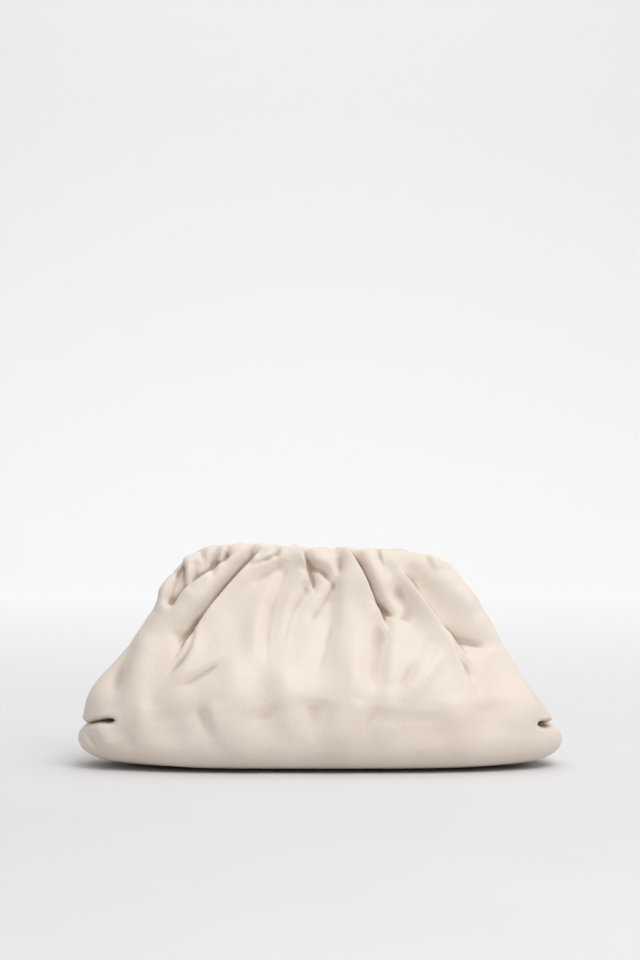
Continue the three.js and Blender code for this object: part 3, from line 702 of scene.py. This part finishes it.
def leather_points(sizes, facing):
    """The outer face of a panel: its points, the directions they face, and how deep the folds go
    below each of them. Last comes where the leather lies inside a tuck, from 0 to 1."""
    arounds = np.linspace(-1, 1, COLUMNS + 1)
    rows = np.stack([rows_at(sizes, around) for around in arounds], axis=1)
    columns = [bare_column(sizes, facing, a, rows[:, c]) for c, a in enumerate(arounds)]
    bare = np.stack(columns, axis=1)
    normals = faces_out(bare, facing)
    lift, slide_x, slide_z = lay_folds(bare, facing)
    lift = clear_of_frame(sizes, bare, lift)

    shares = np.abs(arounds)
    starts = np.where(arounds < 0, sizes.tuck_left, sizes.tuck_right)
    by_tuck = smoothstep(rows, *TUCK_CALM_IN) * (1 - smoothstep(rows, *TUCK_CALM_OUT))
    stiff = lerp(smoothstep(shares, END_CALM, 1), smoothstep(shares, starts, 1), by_tuck)
    gather = between(columns_of(SECTION_COLUMNS, SECTIONS)["gather"], rows)
    weight = gather * (1 - stiff) * sizes.gather
    loose = slack(bare[..., 0], bare[..., 2]) * sizes.slack * gather
    from_tuck = np.abs(rows - TUCK_ROW)
    seam = sizes.seam_dip * np.exp(-((bare[..., 1] / sizes.seam_width) ** 2))
    seam *= smoothstep(rows, *SEAM_ROWS) * smoothstep(from_tuck, *SEAM_FROM_TUCK)
    raised = lift * weight + loose - seam
    outer = bare + normals * raised[..., None]
    outer[..., 0] += slide_x * weight
    outer[..., 2] += slide_z * weight
    outer[..., 1] = facing * np.maximum(outer[..., 1] * facing, sizes.seam_gap / 2)
    # Where the leather lies inside a tuck, which is used only to paint shade into the tuck
    open_tuck = smoothstep(shares, starts, starts + sizes.tuck_mouth)
    tucked = open_tuck * (1 - smoothstep(from_tuck, *TUCK_SHADE_ROWS))
    return outer, normals, raised - lowest(raised, FLESH_STEPS), tucked


def hollows(points, normals, reach):
    """How deep each point of a grid lies among the points that are reach steps away, in metres."""
    padded = np.pad(points, ((reach, reach), (reach, reach), (0, 0)), mode="edge")
    high, wide = points.shape[:2]
    around = [
        padded[reach + down : reach + down + high, reach + across : reach + across + wide]
        for down, across in ((-reach, 0), (reach, 0), (0, -reach), (0, reach))
    ]
    return ((sum(around) / 4 - points) * normals).sum(axis=2)


def leather_mesh(name, sizes, facing):
    """A panel as one closed wall, with its outer face twice as fine as its inner face."""
    outer, normals, folded, tucked = leather_points(sizes, facing)
    if not np.isfinite(outer).all():
        raise ValueError(f"{name} has points without a place")
    inner = (outer - normals * (sizes.leather + folded)[..., None])[::2, ::2]
    inner[..., 1] = facing * np.maximum(inner[..., 1] * facing, sizes.seam_gap / 2)
    high, wide = outer.shape[:2]
    fine = np.arange(high * wide).reshape(high, wide)
    coarse = fine.size + np.arange(inner.shape[0] * inner.shape[1]).reshape(inner.shape[:2])

    def quads(grid):
        corners = [grid[:-1, :-1], grid[1:, :-1], grid[1:, 1:], grid[:-1, 1:]]
        return np.stack(corners, axis=-1).reshape(-1, 4)

    def border(grid):
        return np.concatenate([grid[0, :-1], grid[:-1, -1], grid[-1, :0:-1], grid[:0:-1, 0]])

    edge, inner_edge = border(fine), border(coarse)
    follow, inner_follow = np.roll(edge, -1), np.roll(inner_edge, -1)
    after = np.roll(edge, -2)
    sides = np.stack([edge[::2], follow[::2], after[::2], inner_follow, inner_edge], axis=1)
    faces = [quads(fine), quads(coarse)[:, ::-1], sides]
    if facing > 0:
        faces = [group[:, ::-1] for group in faces]
    polygons = [polygon for group in faces for polygon in group.tolist()]

    mesh = bpy.data.meshes.new(name)
    points = np.concatenate([outer.reshape(-1, 3), inner.reshape(-1, 3)])
    mesh.from_pydata(points.tolist(), [], polygons)
    mesh.polygons.foreach_set("use_smooth", np.ones(len(polygons), bool))
    inside = np.zeros(len(polygons), np.int32)
    inside[len(faces[0]) : len(faces[0]) + len(faces[1])] = 1
    mesh.polygons.foreach_set("material_index", inside)
    # Painted shade: how deep each point lies among its neighbours, plus a share inside the tucks,
    # kept on the points so that the leather colour is darkened there
    depth = hollows(outer, normals, NEAR_STEPS) + FAR_SHARE * hollows(outer, normals, FAR_STEPS)
    depth += TUCK_SHADE_DEPTH * MM * tucked
    crease_shade = mesh.attributes.new("crease_shade", "FLOAT", "POINT")
    none_inside = np.zeros(len(points) - fine.size)
    crease_shade.data.foreach_set("value", np.concatenate([depth.ravel() / MM, none_inside]))
    mesh.update()
    return mesh


def add_node(tree, kind, inputs=(), **settings):
    """Adds a node with its settings, and values or links for its sockets."""
    made = tree.nodes.new(kind)
    for name, value in settings.items():
        setattr(made, name, value)
    for socket, value in dict(inputs).items():
        if isinstance(value, bpy.types.NodeSocket):
            tree.links.new(value, made.inputs[socket])
        else:
            made.inputs[socket].default_value = value
    return made


def rgba(color):
    return (*color, 1)


def new_group(name, inputs, outputs):
    """An empty shader group with named sockets, and its input and output nodes."""
    tree = bpy.data.node_groups.new(name, "ShaderNodeTree")
    for socket, (kind, value) in inputs.items():
        made = tree.interface.new_socket(name=socket, in_out="INPUT", socket_type=kind)
        if value is not None:
            made.default_value = value
    for socket, kind in outputs.items():
        tree.interface.new_socket(name=socket, in_out="OUTPUT", socket_type=kind)
    return tree, tree.nodes.new("NodeGroupInput").outputs, tree.nodes.new("NodeGroupOutput").inputs


def uneven_tone():
    """Colour that wanders between two tones in soft clouds."""
    inputs = {
        "Color": ("NodeSocketColor", (0.8, 0.8, 0.8, 1)),
        "Other Color": ("NodeSocketColor", (0.6, 0.6, 0.6, 1)),
        "Scale": ("NodeSocketFloat", 20.0),
        "Amount": ("NodeSocketFloat", 1.0),
    }
    tree, given, made = new_group("Uneven Tone", inputs, {"Color": "NodeSocketColor"})
    place = add_node(tree, "ShaderNodeTexCoord").outputs["Object"]
    clouds = add_node(
        tree, "ShaderNodeTexNoise", {"Vector": place, "Scale": given["Scale"], "Detail": 5.0}
    )
    spread = add_node(
        tree,
        "ShaderNodeMapRange",
        {"Value": clouds.outputs["Fac"], "From Min": 0.35, "From Max": 0.7},
    )
    share = add_node(
        tree,
        "ShaderNodeMath",
        {0: spread.outputs["Result"], 1: given["Amount"]},
        operation="MULTIPLY",
    )
    mixed = add_node(tree, "ShaderNodeMix", {"Factor": share.outputs[0]}, data_type="RGBA")
    tree.links.new(given["Color"], mixed.inputs["A"])
    tree.links.new(given["Other Color"], mixed.inputs["B"])
    tree.links.new(mixed.outputs["Result"], made["Color"])
    return tree


def skin_grain():
    """Height of the pebbled grain of a skin, with finer pores in it."""
    inputs = {"Cell Size": ("NodeSocketFloat", 0.001), "Pores": ("NodeSocketFloat", 0.4)}
    tree, given, made = new_group("Skin Grain", inputs, {"Height": "NodeSocketFloat"})
    place = add_node(tree, "ShaderNodeTexCoord").outputs["Object"]
    scale = add_node(
        tree, "ShaderNodeMath", {0: 1.0, 1: given["Cell Size"]}, operation="DIVIDE"
    ).outputs[0]
    warp = add_node(tree, "ShaderNodeTexNoise", {"Vector": place, "Scale": 300.0, "Detail": 2.0})
    shift = add_node(
        tree, "ShaderNodeVectorMath", {0: warp.outputs["Color"], "Scale": 0.0012}, operation="SCALE"
    )
    bent = add_node(
        tree, "ShaderNodeVectorMath", {0: place, 1: shift.outputs[0]}, operation="ADD"
    ).outputs[0]
    cells = add_node(
        tree, "ShaderNodeTexVoronoi", {"Vector": bent, "Scale": scale}, feature="SMOOTH_F1"
    )
    pores = add_node(tree, "ShaderNodeTexNoise", {"Vector": place, "Scale": 3500.0, "Detail": 3.0})
    fine = add_node(
        tree, "ShaderNodeMath", {0: pores.outputs["Fac"], 1: given["Pores"]}, operation="MULTIPLY"
    )
    whole = add_node(
        tree,
        "ShaderNodeMath",
        {0: fine.outputs[0], 1: cells.outputs["Distance"]},
        operation="SUBTRACT",
    )
    tree.links.new(whole.outputs[0], made["Height"])
    return tree


def new_material(name):
    """A material with an empty tree but for its shader and output."""
    material = bpy.data.materials.new(name)
    material.use_nodes = True
    return material, material.node_tree, material.node_tree.nodes["Principled BSDF"]


def use_group(tree, group, inputs):
    made = add_node(tree, "ShaderNodeGroup", node_tree=group)
    for socket, value in inputs.items():
        made.inputs[socket].default_value = value
    return made


def add_bump(tree, height, strength, distance, below=None):
    """The normal of a new bump, laid over another bump's normal where there is one."""
    inputs = {"Height": height, "Strength": strength, "Distance": distance}
    if below is not None:
        inputs["Normal"] = below
    return add_node(tree, "ShaderNodeBump", inputs).outputs["Normal"]


def leather_material(looks, tone, grain):
    """Smooth full-grain leather: clouds of tone, painted shade in the creases and tucks, fine grain
    and soft wrinkles.
    """
    material, tree, shader = new_material("leather")
    tones = {"Color": rgba(looks.leather_color), "Other Color": rgba(looks.shade_color)}
    clouds = use_group(tree, tone, {**tones, "Scale": 14.0})
    # Painted shade: the leather colour turns towards a dark brown where its creases and tucks lie
    # deep, in place of their shadow
    crease_shade = add_node(tree, "ShaderNodeAttribute", attribute_name="crease_shade").outputs["Fac"]
    shade_depths = {"From Min": 0.9, "From Max": 3.8, "To Max": 0.85}
    painted_shade = add_node(tree, "ShaderNodeMapRange", {"Value": crease_shade, **shade_depths})
    color = add_node(tree, "ShaderNodeMix", {"Factor": painted_shade.outputs["Result"]}, data_type="RGBA")
    tree.links.new(clouds.outputs["Color"], color.inputs["A"])
    color.inputs["B"].default_value = rgba(looks.crease_shade_color)
    tree.links.new(color.outputs["Result"], shader.inputs["Base Color"])

    place = add_node(tree, "ShaderNodeTexCoord").outputs["Object"]
    polish = add_node(tree, "ShaderNodeTexNoise", {"Vector": place, "Scale": 60.0, "Detail": 4.0})
    polished = {"Value": polish.outputs["Fac"], "To Min": 0.4, "To Max": 0.58}
    rough = add_node(tree, "ShaderNodeMapRange", polished)
    tree.links.new(rough.outputs["Result"], shader.inputs["Roughness"])

    pebbles = use_group(tree, grain, {"Cell Size": looks.grain_size, "Pores": 0.5})
    small = {"Scale": 260.0, "Detail": 2.0, "Distortion": 1.2}
    wrinkles = add_node(tree, "ShaderNodeTexNoise", {"Vector": place, **small})
    large = {"Scale": 70.0, "Detail": 3.0, "Distortion": 0.6}
    ripples = add_node(tree, "ShaderNodeTexNoise", {"Vector": place, **large})
    normal = add_bump(tree, pebbles.outputs["Height"], 0.5, 0.00015)
    normal = add_bump(tree, wrinkles.outputs["Fac"], 0.4, 0.0004, normal)
    normal = add_bump(tree, ripples.outputs["Fac"], 0.3, 0.0012, normal)
    tree.links.new(normal, shader.inputs["Normal"])
    shader.inputs["Specular IOR Level"].default_value = 0.42
    shader.inputs["Sheen Weight"].default_value = 0.04
    return material


def flesh_material(looks, tone, grain):
    """The napped flesh side of the leather."""
    material, tree, shader = new_material("leather_inside")
    darker = [channel * 0.8 for channel in looks.flesh_color]
    clouds = use_group(
        tree, tone, {"Color": rgba(looks.flesh_color), "Other Color": rgba(darker), "Scale": 45.0}
    )
    tree.links.new(clouds.outputs["Color"], shader.inputs["Base Color"])
    nap = use_group(tree, grain, {"Cell Size": 0.0006, "Pores": 1.0})
    tree.links.new(add_bump(tree, nap.outputs["Height"], 0.6, 0.0003), shader.inputs["Normal"])
    shader.inputs["Roughness"].default_value = 0.92
    return material


def steel_material(looks):
    """Brushed steel of the frame, with the lines of its drawing along it."""
    material, tree, shader = new_material("frame_steel")
    place = add_node(tree, "ShaderNodeTexCoord").outputs["Object"]
    stretch = add_node(
        tree, "ShaderNodeMapping", {"Vector": place, "Scale": (60.0, 2600.0, 2600.0)}
    )
    lines = add_node(
        tree, "ShaderNodeTexNoise", {"Vector": stretch.outputs[0], "Scale": 1.0, "Detail": 4.0}
    )
    rough = add_node(
        tree, "ShaderNodeMapRange", {"Value": lines.outputs["Fac"], "To Min": 0.25, "To Max": 0.5}
    )
    tree.links.new(rough.outputs["Result"], shader.inputs["Roughness"])
    tree.links.new(add_bump(tree, lines.outputs["Fac"], 0.2, 0.0001), shader.inputs["Normal"])
    shader.inputs["Base Color"].default_value = rgba(looks.steel_color)
    shader.inputs["Metallic"].default_value = 1.0
    return material


def floor_material(stage, tone):
    """Matt paper of the floor, which turns lighter up the backdrop."""
    material, tree, shader = new_material("backdrop")
    place = add_node(tree, "ShaderNodeTexCoord").outputs["Object"]
    parts = add_node(tree, "ShaderNodeSeparateXYZ", {0: place})
    back = add_node(
        tree, "ShaderNodeMapRange", {"Value": parts.outputs["Y"], "From Min": -0.3, "From Max": 2.6}
    )
    color = add_node(tree, "ShaderNodeMix", {"Factor": back.outputs["Result"]}, data_type="RGBA")
    color.inputs["B"].default_value = rgba(stage.wall_color)
    darker = [channel * 0.985 for channel in stage.floor_color]
    paper = use_group(
        tree, tone, {"Color": rgba(stage.floor_color), "Other Color": rgba(darker), "Scale": 6.0}
    )
    tree.links.new(paper.outputs["Color"], color.inputs["A"])
    tree.links.new(color.outputs["Result"], shader.inputs["Base Color"])
    shader.inputs["Roughness"].default_value = 0.95
    shader.inputs["Specular IOR Level"].default_value = 0.2
    return material


def named_group(name, make):
    """A shader group by its name, made the first time that it is asked for."""
    return bpy.data.node_groups.get(name) or make()


def place_object(name, data):
    """Links new data into the scene as an object."""
    made = bpy.data.objects.new(name, data)
    bpy.context.scene.collection.objects.link(made)
    return made


class POUCH_OT_leather(bpy.types.Operator):
    """Makes the front and back leather panels with their gathers"""

    bl_idname = "pouch.leather"
    bl_label = "Make Leather Panels"

    def execute(self, context):
        sizes, looks = context.scene.pouch_sizes, context.scene.pouch_looks
        tone = named_group("Uneven Tone", uneven_tone)
        grain = named_group("Skin Grain", skin_grain)
        outside = leather_material(looks, tone, grain)
        inside = flesh_material(looks, tone, grain)
        for name, facing in (("front", -1), ("back", 1)):
            mesh = leather_mesh(f"{name}_leather", sizes, facing)
            mesh.materials.append(outside)
            mesh.materials.append(inside)
            made = place_object(f"{name}_leather", mesh)
            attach(made, "root")
            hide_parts(f"{name}_panel")
        return {"FINISHED"}


class POUCH_OT_frame(bpy.types.Operator):
    """Gives the hidden frame its brushed steel"""

    bl_idname = "pouch.frame"
    bl_label = "Finish Frame"

    def execute(self, context):
        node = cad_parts["mouth_frame"]
        node.data.materials.clear()
        node.data.materials.append(steel_material(context.scene.pouch_looks))
        return {"FINISHED"}


def backdrop_mesh():
    """The floor, which sweeps up into a wall behind the pouch."""
    profile = [(-FLOOR_HALF, 0.0)]
    for angle in np.linspace(0, math.pi / 2, SWEEP_STEPS + 1):
        profile.append((FLOOR_BACK + SWEEP * math.sin(angle), SWEEP * (1 - math.cos(angle))))
    profile.append((FLOOR_BACK + SWEEP, WALL_TOP))
    points = [(side * FLOOR_HALF, y, z) for y, z in profile for side in (-1, 1)]
    faces = [(2 * i, 2 * i + 1, 2 * i + 3, 2 * i + 2) for i in range(len(profile) - 1)]
    mesh = bpy.data.meshes.new("backdrop")
    mesh.from_pydata(points, [], faces)
    mesh.polygons.foreach_set("use_smooth", np.ones(len(faces), bool))
    return mesh


def sky_world(stage):
    """Plain white light that is stronger from above and weaker from the left."""
    world = bpy.data.worlds.new("sky")
    world.use_nodes = True
    tree = world.node_tree
    toward = add_node(tree, "ShaderNodeTexCoord").outputs["Generated"]
    parts = add_node(tree, "ShaderNodeSeparateXYZ", {0: toward})
    height = {"Value": parts.outputs["Z"], "From Min": -0.1, "From Max": 0.8}
    strength = {"To Min": stage.sky_low, "To Max": stage.sky}
    rising = add_node(tree, "ShaderNodeMapRange", {**height, **strength}).outputs["Result"]
    across = {"Value": parts.outputs["X"], "From Min": -0.9, "From Max": 0.1}
    shaded = add_node(tree, "ShaderNodeMapRange", {**across, "To Min": stage.sky_left})
    both = {0: rising, 1: shaded.outputs["Result"]}
    light = add_node(tree, "ShaderNodeMath", both, operation="MULTIPLY")
    sky = tree.nodes["Background"].inputs
    sky["Color"].default_value = (1.0, 1.0, 1.0, 1.0)
    tree.links.new(light.outputs[0], sky["Strength"])
    return world


def add_lamp(name, size, power, place, target):
    """A square area light that is turned towards its target."""
    light = bpy.data.lights.new(name, "AREA")
    light.size = size
    light.energy = power
    lamp = place_object(name, light)
    lamp.location = place
    lamp.rotation_mode = "QUATERNION"
    lamp.rotation_quaternion = (Vector(target) - lamp.location).to_track_quat("-Z", "Y")


class POUCH_OT_stage(bpy.types.Operator):
    """Makes the floor with its backdrop, the lights and the camera"""

    bl_idname = "pouch.stage"
    bl_label = "Make Stage"

    def execute(self, context):
        stage = context.scene.pouch_stage
        mesh = backdrop_mesh()
        mesh.materials.append(floor_material(stage, named_group("Uneven Tone", uneven_tone)))
        place_object("backdrop", mesh)
        context.scene.world = sky_world(stage)
        add_lamp("key_light", KEY_SIZE, stage.key, KEY_PLACE, KEY_TARGET)
        add_lamp("backdrop_light", WASH_SIZE, stage.wash, WASH_PLACE, WASH_TARGET)

        camera = bpy.data.cameras.new("camera")
        camera.lens = LENS_MM
        camera.sensor_width = SENSOR_MM
        camera.clip_end = VIEW_LIMIT
        seat = place_object("camera", camera)
        seat.location = CAMERA_PLACE
        seat.rotation_euler = (math.pi / 2, 0, 0)
        context.scene.camera = seat
        context.scene.view_settings.view_transform = "Standard"
        return {"FINISHED"}


class POUCH_PT_panel(bpy.types.Panel):
    """Lists the pouch's settings and its operators"""

    bl_idname = "POUCH_PT_panel"
    bl_label = "Cloud Pouch Bag"
    bl_space_type = "VIEW_3D"
    bl_region_type = "UI"
    bl_category = "Pouch"

    def draw(self, context):
        scene = context.scene
        for settings in (scene.pouch_sizes, scene.pouch_looks, scene.pouch_stage):
            box = self.layout.box()
            for name in settings.bl_rna.properties.keys():
                if name not in ("rna_type", "name"):
                    box.prop(settings, name)
        for operator in OPERATORS:
            self.layout.operator(operator.bl_idname)


OPERATORS = (POUCH_OT_leather, POUCH_OT_frame, POUCH_OT_stage)
CLASSES = (PouchSizes, PouchLooks, PouchStage, *OPERATORS, POUCH_PT_panel)


def register():
    for cls in CLASSES:
        bpy.utils.register_class(cls)
    bpy.types.Scene.pouch_sizes = PointerProperty(type=PouchSizes)
    bpy.types.Scene.pouch_looks = PointerProperty(type=PouchLooks)
    bpy.types.Scene.pouch_stage = PointerProperty(type=PouchStage)


def unregister():
    del bpy.types.Scene.pouch_stage
    del bpy.types.Scene.pouch_looks
    del bpy.types.Scene.pouch_sizes
    for cls in reversed(CLASSES):
        bpy.utils.unregister_class(cls)


def main():
    register()
    bpy.ops.pouch.leather()
    bpy.ops.pouch.frame()
    bpy.ops.pouch.stage()


if __name__ == "__main__":
    main()
